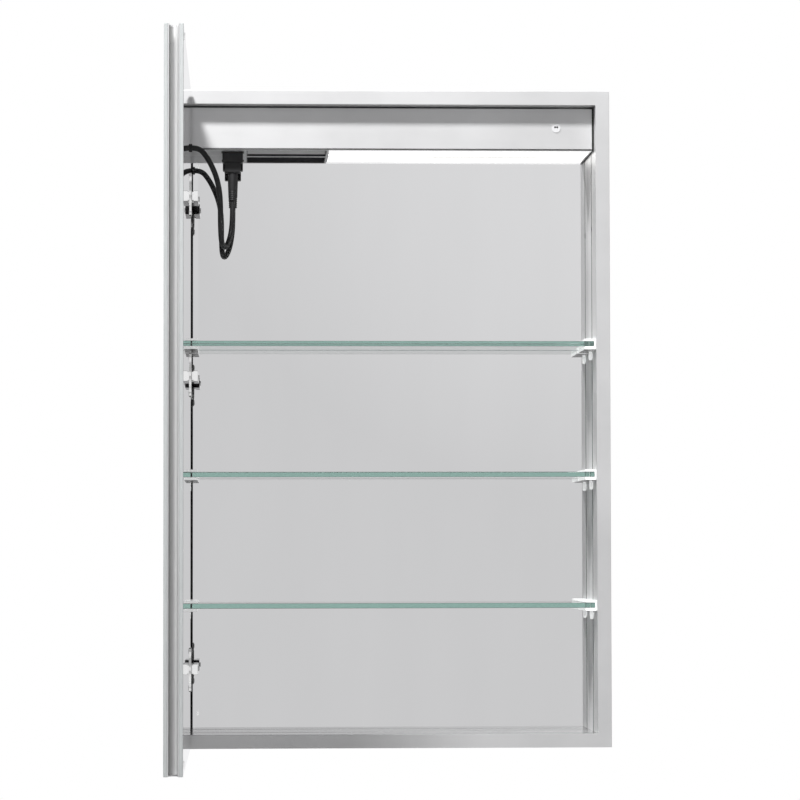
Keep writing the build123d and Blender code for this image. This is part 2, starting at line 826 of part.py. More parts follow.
with BuildPart() as hinge_plate_screws:
    shank = plate_thickness + 2 * profile_wall
    head_x = -inner_x + plate_thickness
    for z in hinge_heights:
        for offset in (-hinge_screw_spacing / 2, hinge_screw_spacing / 2):
            place = (head_x, front_y + hinge_screw_depth, z + offset)
            rod(place, (-1, 0, 0), hinge_screw_radius - pin_clearance, shank)
            rod(place, (1, 0, 0), hinge_screw_head, hinge_screw_radius)
save(hinge_plate_screws, "hinge_plate_screws")

with BuildPart() as hinge_adjusters:
    arm_x = -inner_x + plate_thickness + arm_thickness
    for z in hinge_heights:
        for share in (1 / 3, 2 / 3):
            y = front_y + arm_front + (arm_back - arm_front) * share
            rod((arm_x, y, z), (1, 0, 0), adjuster_radius, adjuster_height)
save(hinge_adjusters, "hinge_adjusters")

with BuildPart() as cup_screws:
    for z in hinge_heights:
        for side in (-1, 1):
            place = door_point(cup_s, cup_flange, z + side * cup_screw_from_middle)
            rod(place, (-1, 0, 0), cup_screw_radius, cup_flange)
            rod(place, (1, 0, 0), cup_screw_head, cup_flange / 2)
save(cup_screws, "cup_screws")


# ---- Shelves: glass in a clip at each end, and a peg that grips the side's slot ----

shelf_end = inner_x - shelf_end_gap
shelf_y = (front_y + shelf_front, mirror_y - shelf_back_gap)
slot_y = front_y + slot_depth


def shelf_clip(side, top):
    """A channel round the end of the glass, closed against the side of the frame."""
    outer = side * (inner_x - clip_wall_gap)
    ends = sorted((outer, side * (inner_x - clip_length)))
    low = top - shelf_thickness - clip_grip - clip_bottom
    slab((ends[0], shelf_y[0], low), (ends[1], shelf_y[1], top + clip_grip + clip_top))
    glass = sorted((side * (inner_x - clip_length), outer - side * clip_web))
    slab(
        (glass[0], shelf_y[0], top - shelf_thickness - clip_grip),
        (glass[1], shelf_y[1], top + clip_grip),
        mode=Mode.SUBTRACT,
    )


def shelf_peg(side, top):
    """A nut in the slot, a neck out of it and a round thumb head under the clip."""
    clip_low = top - shelf_thickness - clip_grip - clip_bottom
    middle = clip_low - peg_head_radius
    nut_out = side * (inner_x + slot_bottom - (slot_bottom - slot_lip - peg_nut_thickness) / 2)
    nut = sorted((nut_out, nut_out - side * peg_nut_thickness))
    half = peg_height / 2
    slab(
        (nut[0], slot_y - peg_nut / 2, middle - half),
        (nut[1], slot_y + peg_nut / 2, middle + half),
    )
    head = side * (inner_x - clip_wall_gap)
    neck = sorted((nut_out, head))
    slab(
        (neck[0], slot_y - peg_neck / 2, middle - peg_neck / 2),
        (neck[1], slot_y + peg_neck / 2, middle + peg_neck / 2),
    )
    rod((head, slot_y, middle), (-side, 0, 0), peg_head_radius, peg_head_thickness)


for number, top in enumerate(shelf_tops, start=1):
    with BuildPart() as shelf_glass:
        slab(
            (-shelf_end, shelf_y[0], top - shelf_thickness),
            (shelf_end, shelf_y[1], top),
        )
    save(shelf_glass, f"shelf_glass_{number}")

    with BuildPart() as shelf_clips:
        for side in (-1, 1):
            shelf_clip(side, top)
    save(shelf_clips, f"shelf_clips_{number}")

    with BuildPart() as shelf_pegs:
        for side in (-1, 1):
            shelf_peg(side, top)
    save(shelf_pegs, f"shelf_pegs_{number}")


# ---- Lead: from the gland in the door round to the plug in the head's socket ----

with BuildPart() as lead_plug:
    body_top = plug_top - plug_shoulder
    neck_top = body_top - plug_body_height
    slab(
        (lead_socket_x - plug_length / 2, lead_y - plug_width / 2, body_top),
        (lead_socket_x + plug_length / 2, lead_y + plug_width / 2, plug_top),
    )
    fillet(lead_plug.edges().filter_by(Axis.Z), radius=plug_corner)
    slab(
        (lead_socket_x - plug_body_length / 2, lead_y - plug_body_width / 2, neck_top),
        (lead_socket_x + plug_body_length / 2, lead_y + plug_body_width / 2, body_top),
    )
    chamfer(lead_plug.edges().group_by(Axis.Z)[0], length=plug_bevel)
    with BuildSketch(Plane((lead_socket_x, lead_y, neck_top))) as neck:
        Circle(plug_neck / 2)
    with BuildSketch(Plane((lead_socket_x, lead_y, plug_tip))) as tip:
        Circle(plug_tip_radius)
    loft([neck.sketch, tip.sketch])
save(lead_plug, "lead_plug")

with BuildPart() as plug_blades:
    for x in blade_offsets:
        slab(
            (lead_socket_x + x - blade_thickness / 2, lead_y - blade_width / 2, plug_top),
            (lead_socket_x + x + blade_thickness / 2, lead_y + blade_width / 2,
             plug_top + blade_length),
        )
save(plug_blades, "plug_blades")


def arc_radii(points):
    """Each corner's radius: as large as the shorter of its two runs allows."""
    radii = []
    for before, corner, after in zip(points, points[1:], points[2:]):
        arriving = Vector(corner) - Vector(before)
        leaving = Vector(after) - Vector(corner)
        half_turn = radians(arriving.get_angle(leaving)) / 2
        shorter = min(arriving.length, leaving.length)
        radii.append(arc_share * shorter / tan(half_turn))
    return radii


lead_start = door_point(gland_s, gland_proud, gland_z)
lead_end = (lead_socket_x, lead_y, plug_tip)
lead_route = [lead_start, *lead_bends, lead_end]
lead_radii = arc_radii(lead_route)
with BuildPart() as door_lead:
    with BuildLine():
        lead_path = FilletPolyline(*lead_route, radius=lead_radii)
    start_plane = Plane(origin=lead_route[0], z_dir=Vector(lead_route[1]) - Vector(lead_route[0]))
    with BuildSketch(start_plane) as lead_section:
        Circle(lead_diameter / 2)
    sweep(lead_section.sketch, path=lead_path)
save(door_lead, "door_lead")

print("lead radii", [round(r, 1) for r in lead_radii])
print("lead length", round(lead_path.length, 1))
section_area = pi * (lead_diameter / 2) ** 2
print("lead volume", round(door_lead.part.volume, 1), round(section_area * lead_path.length, 1))
print("pivot", pivot_x, pivot_y, "door face", door_face_x, "door edge", door_edge_y)
print("plug tip", plug_tip, "gland", gland_z, door_edge_y - gland_s)
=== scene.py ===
"""A bathroom cabinet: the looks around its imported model. Metres, in the model's own frame.

X runs to the right, Y into the wall and Z up. The door stands open at a right angle on the left.
"""

import json
from math import cos, pi, radians, sin

import bmesh
import bpy
from mathutils import Matrix, Vector


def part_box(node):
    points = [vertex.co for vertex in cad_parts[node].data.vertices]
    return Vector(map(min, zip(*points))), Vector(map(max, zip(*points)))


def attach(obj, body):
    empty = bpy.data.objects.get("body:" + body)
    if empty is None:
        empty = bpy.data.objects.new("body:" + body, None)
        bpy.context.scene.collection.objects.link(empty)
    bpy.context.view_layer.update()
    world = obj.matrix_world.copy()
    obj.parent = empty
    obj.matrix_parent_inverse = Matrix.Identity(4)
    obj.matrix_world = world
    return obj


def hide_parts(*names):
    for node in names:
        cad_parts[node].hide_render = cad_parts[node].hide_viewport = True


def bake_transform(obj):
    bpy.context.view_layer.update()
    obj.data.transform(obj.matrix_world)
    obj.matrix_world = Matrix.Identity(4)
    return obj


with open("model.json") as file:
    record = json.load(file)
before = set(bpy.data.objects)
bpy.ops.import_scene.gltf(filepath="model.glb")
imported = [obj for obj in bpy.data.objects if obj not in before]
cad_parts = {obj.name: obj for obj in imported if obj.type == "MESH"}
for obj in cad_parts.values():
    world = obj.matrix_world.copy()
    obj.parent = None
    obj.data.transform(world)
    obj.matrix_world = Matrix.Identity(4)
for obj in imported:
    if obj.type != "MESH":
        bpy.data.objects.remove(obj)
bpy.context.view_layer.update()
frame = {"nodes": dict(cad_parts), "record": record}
nodes = frame["nodes"]
body_of = {
    node: body
    for body, members in frame["record"]["behaviour"]["bodies"].items()
    for node in members
}
slot_of = {part["node"]: part["material_slot"] for part in frame["record"]["subparts"]}
MM = 0.001


# ---- Camera ----

camera_place = (-0.1741, -4.1552, -0.1582)
camera_yaw = 0.0451
camera_pitch = 0.0441
camera_roll = 0.0018
camera_lens = 157.9
camera_sensor = 36.0

camera_data = bpy.data.cameras.new("camera")
camera_data.lens = camera_lens
camera_data.sensor_width = camera_sensor
camera_data.clip_start = 0.05
camera_data.clip_end = 100.0
camera = bpy.data.objects.new("camera", camera_data)
camera.location = camera_place
camera.rotation_euler = (pi / 2 + camera_pitch, camera_roll, -camera_yaw)
bpy.context.scene.collection.objects.link(camera)
bpy.context.scene.camera = camera


# ---- Mesh tools ----

WELD = 0.001 * MM
FLAT = radians(0.3)
SHARP = radians(28)
SMOOTH = radians(34)
SQUARE_ON = 0.999
LEVEL = 0.8
STEEP = 0.5


def add(name, bm, looks, body, *stands_for, slot=None, smooth=SMOOTH):
    """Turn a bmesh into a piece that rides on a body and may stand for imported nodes."""
    mesh = bpy.data.meshes.new(name)
    bm.normal_update()
    bm.to_mesh(mesh)
    bm.free()
    for look in looks:
        mesh.materials.append(look)
    mesh.polygons.foreach_set("use_smooth", [True] * len(mesh.polygons))
    mesh.set_sharp_from_angle(angle=smooth)
    piece = bpy.data.objects.new(name, mesh)
    bpy.context.scene.collection.objects.link(piece)
    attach(piece, body)
    if stands_for:
        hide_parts(*stands_for)
    flat_normals(piece)
    return piece


def flat_normals(piece):
    """Keep large faces flat to the light, so that only their rounded edges shade."""
    even = piece.modifiers.new("even_normals", "WEIGHTED_NORMAL")
    even.keep_sharp = True
    even.weight = 100


def round_edges(bm, bevel, keep=None, segments=2):
    """Round every sharp edge that keep, a test on the edge, doesn't hold back."""
    edges = [
        edge
        for edge in bm.edges
        if edge.calc_face_angle(0) > SHARP and not (keep and keep(edge))
    ]
    bmesh.ops.bevel(
        bm, geom=edges, offset=bevel, segments=segments, profile=0.5,
        affect="EDGES", clamp_overlap=False,
    )


def packed(node):
    """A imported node's mesh, welded and with its flat faces joined."""
    bm = bmesh.new()
    bm.from_mesh(nodes[node].data)
    bmesh.ops.remove_doubles(bm, verts=bm.verts, dist=WELD)
    bmesh.ops.dissolve_limit(bm, angle_limit=FLAT, verts=bm.verts, edges=bm.edges)
    return bm


def refine(node, bevel, *looks, keep=None, faces=None, segments=2):
    """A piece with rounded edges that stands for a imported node. faces picks each face's look."""
    bm = packed(node)
    if bevel:
        round_edges(bm, bevel, keep, segments)
    if faces:
        bm.normal_update()
        for face in bm.faces:
            face.material_index = faces(face)
    return add(f"{node}_finish", bm, looks, body_of[node], node)


def block(bm, low, high, bevel, segments=2):
    """Add a rounded rectangular block between two corners."""
    size = [b - a for a, b in zip(low, high)]
    middle = [(a + b) / 2 for a, b in zip(low, high)]
    place = Matrix.Translation(middle) @ Matrix.Diagonal((*size, 1))
    made = bmesh.ops.create_cube(bm, size=1, matrix=place)
    edges = {edge for vert in made["verts"] for edge in vert.link_edges}
    if bevel:
        bmesh.ops.bevel(
            bm, geom=list(edges), offset=bevel, segments=segments, profile=0.5,
            affect="EDGES", clamp_overlap=True,
        )


def lathe(bm, outline, start, axis, steps=40):
    """Turn an outline of (distance along, radius) points about an axis from start."""
    along = Vector(axis).normalized()
    side = along.orthogonal().normalized()
    other = along.cross(side)
    rings = []
    for distance, radius in outline:
        centre = Vector(start) + along * distance
        if radius == 0:
            rings.append([bm.verts.new(centre)])
            continue
        ring = []
        for i in range(steps):
            angle = 2 * pi * i / steps
            ring.append(bm.verts.new(centre + radius * (side * cos(angle) + other * sin(angle))))
        rings.append(ring)
    for near, far in zip(rings, rings[1:]):
        for i in range(steps):
            j = (i + 1) % steps
            corners = [near[i % len(near)], near[j % len(near)], far[j % len(far)], far[i % len(far)]]
            distinct = list(dict.fromkeys(corners))
            if len(distinct) > 2:
                bm.faces.new(distinct)
    bmesh.ops.recalc_face_normals(bm, faces=bm.faces)


# ---- Materials ----


def material(name, **inputs):
    """A Principled material whose constant inputs are set on the shader itself."""
    made = bpy.data.materials.new(name)
    made.use_nodes = True
    shader = made.node_tree.nodes["Principled BSDF"]
    for socket, value in inputs.items():
        shader.inputs[socket.replace("_", " ")].default_value = value
    return made


def pattern(made, scale, detail=3.0, kind="ShaderNodeTexNoise"):
    """A texture in the piece's own metres; scale gives its repeats per metre on each axis."""
    tree = made.node_tree
    place = tree.nodes.new("ShaderNodeTexCoord")
    mapping = tree.nodes.new("ShaderNodeMapping")
    mapping.inputs["Scale"].default_value = scale
    tree.links.new(place.outputs["Object"], mapping.inputs["Vector"])
    texture = tree.nodes.new(kind)
    texture.inputs["Scale"].default_value = 1.0
    if "Detail" in texture.inputs:
        texture.inputs["Detail"].default_value = detail
    tree.links.new(mapping.outputs["Vector"], texture.inputs["Vector"])
    return texture.outputs[0]


def drive(made, source, socket, low, high, span=(0.3, 0.7)):
    """Let a pattern vary one number of the shader between low and high."""
    tree = made.node_tree
    ranged = tree.nodes.new("ShaderNodeMapRange")
    for key, value in zip(("From Min", "From Max", "To Min", "To Max"), (*span, low, high)):
        ranged.inputs[key].default_value = value
    tree.links.new(source, ranged.inputs["Value"])
    tree.links.new(ranged.outputs["Result"], tree.nodes["Principled BSDF"].inputs[socket])


def tint(made, source, dark, light, span=(0.3, 0.7)):
    """Let a pattern vary the shader's colour between two colours."""
    tree = made.node_tree
    ramp = tree.nodes.new("ShaderNodeValToRGB")
    for element, place, colour in zip(ramp.color_ramp.elements, span, (dark, light)):
        element.position = place
        element.color = (*colour, 1)
    tree.links.new(source, ramp.inputs["Fac"])
    tree.links.new(ramp.outputs["Color"], tree.nodes["Principled BSDF"].inputs["Base Color"])


def relief(made, source, height, strength=1.0):
    """Let a pattern raise the surface by up to height metres."""
    tree = made.node_tree
    bump = tree.nodes.new("ShaderNodeBump")
    bump.inputs["Distance"].default_value = height
    bump.inputs["Strength"].default_value = strength
    tree.links.new(source, bump.inputs["Height"])
    tree.links.new(bump.outputs["Normal"], tree.nodes["Principled BSDF"].inputs["Normal"])


def anodised(name, along, dark=0.72, light=0.80, metallic=0.55, rough=(0.35, 0.42)):
    """Satin aluminium with a fine grain that runs along one axis."""
    made = material(name, Metallic=metallic, IOR=1.6)
    grain_across, grain_along = 5200.0, 26.0
    scale = tuple(grain_along if axis == along else grain_across for axis in "XYZ")
    grain = pattern(made, scale, 2.0)
    cloud = pattern(made, (9.0, 9.0, 9.0), 4.0)
    tint(made, cloud, (dark, dark, dark * 1.006), (light, light, light * 1.006), (0.35, 0.65))
    drive(made, grain, "Roughness", *rough)
    relief(made, grain, 0.004 * MM, 0.12)
    return made


def groove_painted_shading(left, right):
    """Anodised metal with the groove's shading painted into its colour: painted shade on the hollow's
    left, painted light towards its right.
    """
    made = anodised("anodised_groove_painted_shade", "Z")
    tree = made.node_tree
    place = tree.nodes.new("ShaderNodeTexCoord")
    apart = tree.nodes.new("ShaderNodeSeparateXYZ")
    tree.links.new(place.outputs["Object"], apart.inputs["Vector"])
    across = tree.nodes.new("ShaderNodeMapRange")
    across.inputs["From Min"].default_value = left
    across.inputs["From Max"].default_value = right
    tree.links.new(apart.outputs["X"], across.inputs["Value"])
    ramp = tree.nodes.new("ShaderNodeValToRGB")
    # Painted shade on the groove's left, rising to painted light towards its right and dimming again at
    # its right edge.
    stops = [(0.0, 0.26), (0.28, 0.44), (0.45, 0.72), (0.6, 0.94), (0.78, 0.98), (1.0, 0.6)]
    for element, (spot, shade) in zip(ramp.color_ramp.elements, stops[:2]):
        element.position = spot
        element.color = (shade, shade, shade, 1)
    for spot, shade in stops[2:]:
        ramp.color_ramp.elements.new(spot).color = (shade, shade, shade, 1)
    tree.links.new(across.outputs["Result"], ramp.inputs["Fac"])
    tree.links.new(ramp.outputs["Color"], tree.nodes["Principled BSDF"].inputs["Base Color"])
    return made


def silvered():
    """The mirror's silver behind its glass, with the faintest wipe marks."""
    made = material("silvered_glass", Metallic=1.0)
    wipe = pattern(made, (14.0, 14.0, 3.0), 5.0)
    tint(made, wipe, (0.903, 0.903, 0.905), (0.923, 0.923, 0.925))
    drive(made, wipe, "Roughness", 0.004, 0.016)
    return made


def ground_edge():
    """The arrissed edge of a mirror pane."""
    made = material("ground_glass_edge", Metallic=0.0, IOR=1.52, Coat_Weight=0.35)
    streak = pattern(made, (2600.0, 2600.0, 60.0), 3.0)
    tint(made, streak, (0.44, 0.46, 0.46), (0.54, 0.56, 0.56))
    drive(made, streak, "Roughness", 0.22, 0.38)
    relief(made, streak, 0.01 * MM, 0.3)
    return made


def float_glass():
    """Clear float glass that turns green over a long path."""
    made = material("float_glass", Roughness=0.0, IOR=1.52, Transmission_Weight=1.0)
    shader = made.node_tree.nodes["Principled BSDF"]
    shader.inputs["Base Color"].default_value = (0.97, 1.0, 0.985, 1)
    absorb = made.node_tree.nodes.new("ShaderNodeVolumeAbsorption")
    absorb.inputs["Color"].default_value = (0.3, 0.66, 0.58, 1)
    absorb.inputs["Density"].default_value = 7.0
    output = made.node_tree.nodes["Material Output"]
    made.node_tree.links.new(absorb.outputs["Volume"], output.inputs["Volume"])
    smear = pattern(made, (7.0, 40.0, 7.0), 4.0)
    drive(made, smear, "Roughness", 0.0, 0.02)
    return made


def frosted_plastic_painted_glow():
    """The shelf clips' pale, half clear plastic, with a faint painted glow."""
    made = material("frosted_plastic_painted_glow", IOR=1.49, Transmission_Weight=0.12,
                    Emission_Color=(1, 1, 1, 1), Emission_Strength=0.32)
    grain = pattern(made, (900.0, 900.0, 900.0), 3.0)
    tint(made, grain, (0.92, 0.93, 0.93), (0.97, 0.98, 0.98))
    drive(made, grain, "Roughness", 0.16, 0.28)
    relief(made, grain, 0.01 * MM, 0.25)
    return made


def moulded(name, dark, light, rough=(0.36, 0.5), grain_scale=1500.0, height=0.02 * MM, **inputs):
    """A moulded plastic or rubber with a fine spark-eroded texture."""
    made = material(name, **inputs)
    grain = pattern(made, (grain_scale, grain_scale, grain_scale), 3.0)
    cloud = pattern(made, (40.0, 40.0, 40.0), 3.0)
    tint(made, cloud, dark, light)
    drive(made, grain, "Roughness", *rough)
    relief(made, grain, height, 0.4)
    return made


def plated(name, dark, light, rough, **inputs):
    """Plated steel: a faint cloudy colour and short polishing lines."""
    made = material(name, Metallic=1.0, **inputs)
    lines = pattern(made, (700.0, 4200.0, 4200.0), 2.0)
    cloud = pattern(made, (60.0, 60.0, 60.0), 4.0)
    tint(made, cloud, dark, light)
    drive(made, lines, "Roughness", *rough)
    relief(made, lines, 0.003 * MM, 0.3)
    return made


def zinc_sheet():
    """Hot-dipped sheet with its crystal spangle."""
    made = material("zinc_sheet", Metallic=0.85)
    spangle = pattern(made, (95.0, 95.0, 95.0), 2.0, "ShaderNodeTexVoronoi")
    cloud = pattern(made, (30.0, 30.0, 30.0), 5.0)
    tint(made, cloud, (0.52, 0.53, 0.54), (0.66, 0.67, 0.68))
    drive(made, spangle, "Roughness", 0.32, 0.55, (0.0, 0.8))
    return made


def lit_lens():
    """The opal lens, lit from behind, a little brighter over its rows of chips."""
    made = material("lit_opal_lens", IOR=1.49, Roughness=0.3)
    shader = made.node_tree.nodes["Principled BSDF"]
    shader.inputs["Base Color"].default_value = (0.95, 0.95, 0.94, 1)
    shader.inputs["Emission Color"].default_value = (1.0, 0.99, 0.97, 1)
    glow = pattern(made, (83.0, 42.0, 1.0), 1.0)
    drive(made, glow, "Emission Strength", 1.55, 1.8)
    return made


upright = anodised("anodised_upright", "Z")
level = anodised("anodised_level", "X")
# A near-black copy of the anodised metal: painted shade for recesses and for the head tray's steep faces.
painted_shade_metal = anodised("anodised_painted_shade", "Z", 0.10, 0.14)
# A brighter copy of the anodised metal: painted light on the head's underside.
tray_painted_light = anodised("anodised_tray_painted_light", "X", 0.9, 0.96)
# A darker, glossier copy of the anodised metal: the darker colour is painted shade on the bottom rail's
# upward face.
rail_floor_painted_shade = anodised("anodised_rail_floor_painted_shade", "X", 0.47, 0.53, 1.0, (0.16, 0.22))
# The finger groove's light and shade are painted into its colour between these two edges.
groove_left, groove_right = -247.52 * MM, -238.08 * MM
groove_painted_shade = groove_painted_shading(groove_left, groove_right)
silver = silvered()
pane_edge = ground_edge()
glass = float_glass()
clip_plastic_painted_glow = frosted_plastic_painted_glow()
# A darker copy of the clip plastic: painted shade on the clips' downward faces.
clip_painted_shade_under = moulded("clip_painted_shade_underside", (0.26, 0.26, 0.26), (0.34, 0.34, 0.34), (0.2, 0.3))
black_plastic = moulded("black_plastic", (0.012, 0.012, 0.012), (0.03, 0.03, 0.03))
# Pale plastic with a faint painted glow, standing for the light on the well's back wall.
well_wall_painted_glow = moulded("well_wall_painted_glow", (0.8, 0.8, 0.8), (0.86, 0.86, 0.86), (0.18, 0.26),
                    Emission_Color=(1, 1, 1, 1), Emission_Strength=0.1)
grey_plastic = moulded("grey_plastic", (0.06, 0.06, 0.063), (0.075, 0.075, 0.08), (0.18, 0.26))
pale_plastic = moulded("pale_plastic", (0.64, 0.64, 0.65), (0.7, 0.7, 0.71), (0.3, 0.4))
white_plastic = moulded("white_board", (0.8, 0.8, 0.78), (0.86, 0.86, 0.84), (0.35, 0.45))
rubber = moulded("black_rubber", (0.014, 0.014, 0.015), (0.03, 0.03, 0.031), (0.38, 0.55))
# Near-black gloss: painted shade for the dark inside of the outlets' holes.
dark_lens = moulded("dark_lens", (0.004, 0.004, 0.005), (0.008, 0.008, 0.01), (0.05, 0.1))
# Clear plastic with a painted glow, so the bumpers don't go dark in shade.
clear_dome_painted_glow = moulded("clear_dome_painted_glow", (0.9, 0.9, 0.9), (0.96, 0.96, 0.96), (0.1, 0.2), 300.0, 0.002 * MM,
                     Emission_Color=(1, 1, 1, 1), Emission_Strength=0.45)
# Matte near-black: the sensor eyes' own colour, and painted shade on the inner pane's edge beside the
# hinges.
matte_black_and_painted_shade = moulded("matte_black_and_painted_shade", (0.006, 0.006, 0.006), (0.014, 0.014, 0.014), (0.5, 0.6))
foam = moulded("closed_foam", (0.06, 0.06, 0.06), (0.12, 0.12, 0.12), (0.7, 0.9), 800.0)
filler = moulded("ribbed_filler", (0.5, 0.39, 0.27), (0.64, 0.53, 0.39), (0.7, 0.85), 500.0)
film = moulded("heater_film", (0.42, 0.2, 0.06), (0.58, 0.32, 0.12), (0.25, 0.4), 300.0)
driver_can = moulded("driver_can", (0.7, 0.71, 0.71), (0.76, 0.77, 0.77), (0.3, 0.42))
# Near-black nickel: painted shade on hinge faces that look up, down or into the cabinet.
nickel_painted_shade = plated("nickel_painted_shade", (0.02, 0.02, 0.02), (0.05, 0.05, 0.05), (0.12, 0.2))
# Bright nickel with a faint painted glow, so the hinges stay bright white.
nickel_painted_glow = plated("nickel_plate_painted_glow", (0.84, 0.84, 0.835), (0.92, 0.92, 0.915), (0.07, 0.12),
                Emission_Color=(1, 1, 1, 1), Emission_Strength=0.22)
bright_zinc = plated("bright_zinc", (0.5, 0.5, 0.5), (0.62, 0.62, 0.62), (0.22, 0.36))
brass = plated("brass", (0.66, 0.53, 0.28), (0.76, 0.64, 0.38), (0.18, 0.3))
sheet_zinc = zinc_sheet()
lens_light = lit_lens()
# A painted glow for the lens's light along the head's front edge.
bezel_painted_glow = moulded("bezel_painted_glow", (0.86, 0.86, 0.85), (0.9, 0.9, 0.89), (0.2, 0.3), 600.0,
                     Emission_Color=(1, 1, 1, 1), Emission_Strength=0.62)


# ---- Lead, with its plug ----

lead_diameter = 6.3 * MM
gland_mouth = (-230.764, -127.0, 310.0)
plug_tip = (-184.5, -50.0, 256.8)
lead_bends = [
    (-222.5, -127.0, 310.0),
    (-214.0, -129.0, 299.5),
    (-207.5, -131.0, 287.5),
    (-202.6, -130.0, 275.0),
    (-199.4, -125.0, 260.5),
    (-198.4, -116.5, 245.0),
    (-198.4, -106.5, 229.0),
    (-198.1, -98.0, 215.0),
    (-197.2, -89.0, 204.0),
    (-194.4, -75.3, 199.2),
    (-190.2, -61.0, 204.0),
    (-186.4, -51.5, 217.5),
    (-184.5, -50.0, 236.0),
]


def smooth_line(points):
    """Points read from the NURBS line that the given points control."""
    curve = bpy.data.curves.new("lead_route", "CURVE")
    curve.dimensions = "3D"
    curve.resolution_u = 16
    spline = curve.splines.new("NURBS")
    spline.points.add(len(points) - 1)
    for point, place in zip(spline.points, points):
        point.co = (*place, 1)
    spline.use_endpoint_u = True
    spline.order_u = 3
    holder = bpy.data.objects.new("lead_route", curve)
    mesh = bpy.data.meshes.new_from_object(holder)
    line = [vert.co.copy() for vert in mesh.vertices]
    bpy.data.objects.remove(holder)
    bpy.data.meshes.remove(mesh)
    return line


def tube(bm, line, radius, steps=24):
    """A round closed tube along a line, turned as little as possible from ring to ring."""
    rings = []
    side = (line[1] - line[0]).orthogonal().normalized()
    for i, centre in enumerate(line):
        before, after = line[max(i - 1, 0)], line[min(i + 1, len(line) - 1)]
        along = (after - before).normalized()
        side = (side - along * side.dot(along)).normalized()
        other = along.cross(side)
        ring = []
        for k in range(steps):
            angle = 2 * pi * k / steps
            ring.append(bm.verts.new(centre + radius * (side * cos(angle) + other * sin(angle))))
        rings.append(ring)
    for near, far in zip(rings, rings[1:]):
        for k in range(steps):
            j = (k + 1) % steps
            bm.faces.new([near[k], near[j], far[j], far[k]])
    bm.faces.new(list(reversed(rings[0])))
    bm.faces.new(rings[-1])


def lead_plug():
    """The moulded plug: a shoulder, a bevelled body and a ribbed, tapering neck."""
    low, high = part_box("lead_plug")
    middle = (low + high) / 2
    shoulder, body_height = 12.2 * MM, 11.8 * MM
    body_half = Vector((9.7, 7.5, 0)) * MM
    shoulder_low = high.z - shoulder
    body_low = shoulder_low - body_height
    bm = bmesh.new()
    block(bm, (low.x, low.y, shoulder_low), high, 0.9 * MM, 4)
    overlap = 0.5 * MM
    block(bm, (middle.x - body_half.x, middle.y - body_half.y, body_low),
          (middle.x + body_half.x, middle.y + body_half.y, shoulder_low + overlap), 1.0 * MM, 4)
    neck = body_low - plug_tip[2] * MM
    wide, narrow, rib, root = 6.0 * MM, 4.9 * MM, 0.5 * MM, -1.2 * MM
    ribs, ribbed_from, ribbed = 5, 0.62, 0.36
    dip, rise, crest = 0.22, 0.62, 0.84
    outline = [(root, wide * 0.9), (0.0, wide)]
    for i in range(ribs):
        start = neck * (ribbed_from + ribbed * i / ribs)
        pitch = neck * ribbed / ribs
        radius = wide + (narrow - wide) * (start / neck)
        outline += [(start, radius), (start + dip * pitch, radius - rib),
                    (start + rise * pitch, radius - rib - 0.05 * MM),
                    (start + crest * pitch, radius - 0.03 * MM)]
    outline += [(neck - 0.5 * MM, narrow), (neck, narrow - 0.4 * MM), (neck, 0)]
    lathe(bm, [(root, 0), *outline], (middle.x, middle.y, body_low), (0, 0, -1), 48)
    return add("lead_plug_finish", bm, [rubber], "cabinet", "lead_plug", smooth=radians(50))


def lead(plug):
    """The lead itself, a tube from the door's gland to the plug on the cabinet."""
    line = smooth_line([Vector(p) * MM for p in (gland_mouth, *lead_bends, plug_tip)])
    bm = bmesh.new()
    tube(bm, line, lead_diameter / 2)
    mesh = bpy.data.meshes.new("door_lead_finish")
    bm.to_mesh(mesh)
    bm.free()
    mesh.materials.append(rubber)
    mesh.polygons.foreach_set("use_smooth", [True] * len(mesh.polygons))
    mesh.set_sharp_from_angle(angle=radians(60))
    piece = bpy.data.objects.new("door_lead_finish", mesh)
    bpy.context.scene.collection.objects.link(piece)
    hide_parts("door_lead")
    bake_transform(piece)
    return piece


lead(lead_plug())


# ---- Frame and back ----


def on_mitre(edge):
    """True for an edge of a mitred end, which closes against its neighbour."""
    return any(abs(abs(face.normal.x) - abs(face.normal.z)) < 0.01 and abs(face.normal.x) > 0.5
               for face in edge.link_faces)


slot_half = 9.0 * MM
slot_bevel = 0.04 * MM
slot_middle = -46.0 * MM
wall_face = 238.0 * MM
slot_end = 250.0 * MM


def in_slot(face):
    """1 for a face inside a side wall's shelf slot, which gets painted shade for the slot's dark inside,
    and 0 elsewhere.
    """
    middle = face.calc_center_median()
    sunk = wall_face + slot_bevel < abs(middle.x) < slot_end
    return int(sunk and abs(middle.y - slot_middle) < slot_half)


# The faces inside each side wall's shelf slot get painted shade.
for name in ("left_side", "right_side"):
    refine(name, 0.35 * MM, upright, painted_shade_metal, keep=on_mitre, faces=in_slot)
refine("top_rail", 0.35 * MM, level, keep=on_mitre)
# The rail's upward faces get the painted shade.
refine("bottom_rail", 0.35 * MM, level, rail_floor_painted_shade, keep=on_mitre,
       faces=lambda face: int(face.normal.z > LEVEL))


def pane_faces(axis):
    """Silver on the faces across one axis and ground glass on the edges."""
    return lambda face: 0 if abs(face.normal[axis]) > SQUARE_ON else 1


refine("back_mirror", 0.4 * MM, silver, pane_edge, faces=pane_faces(1))
refine("mirror_pad", 0, foam)
refine("back_panel", 0.4 * MM, sheet_zinc)
refine("corner_keys", 0.4 * MM, sheet_zinc)


# ---- Lit head ----

eye_radius = 1.05 * MM
eye_pitch = 2.5 * MM
rim_width = 1.3 * MM
well_depth = 12.0 * MM
rim_bevel = 0.3 * MM
outlet_proud = 2.0 * MM
outlet_pitch = 38.0 * MM
bezel_front = -76.6 * MM
bezel_gap = 0.3 * MM


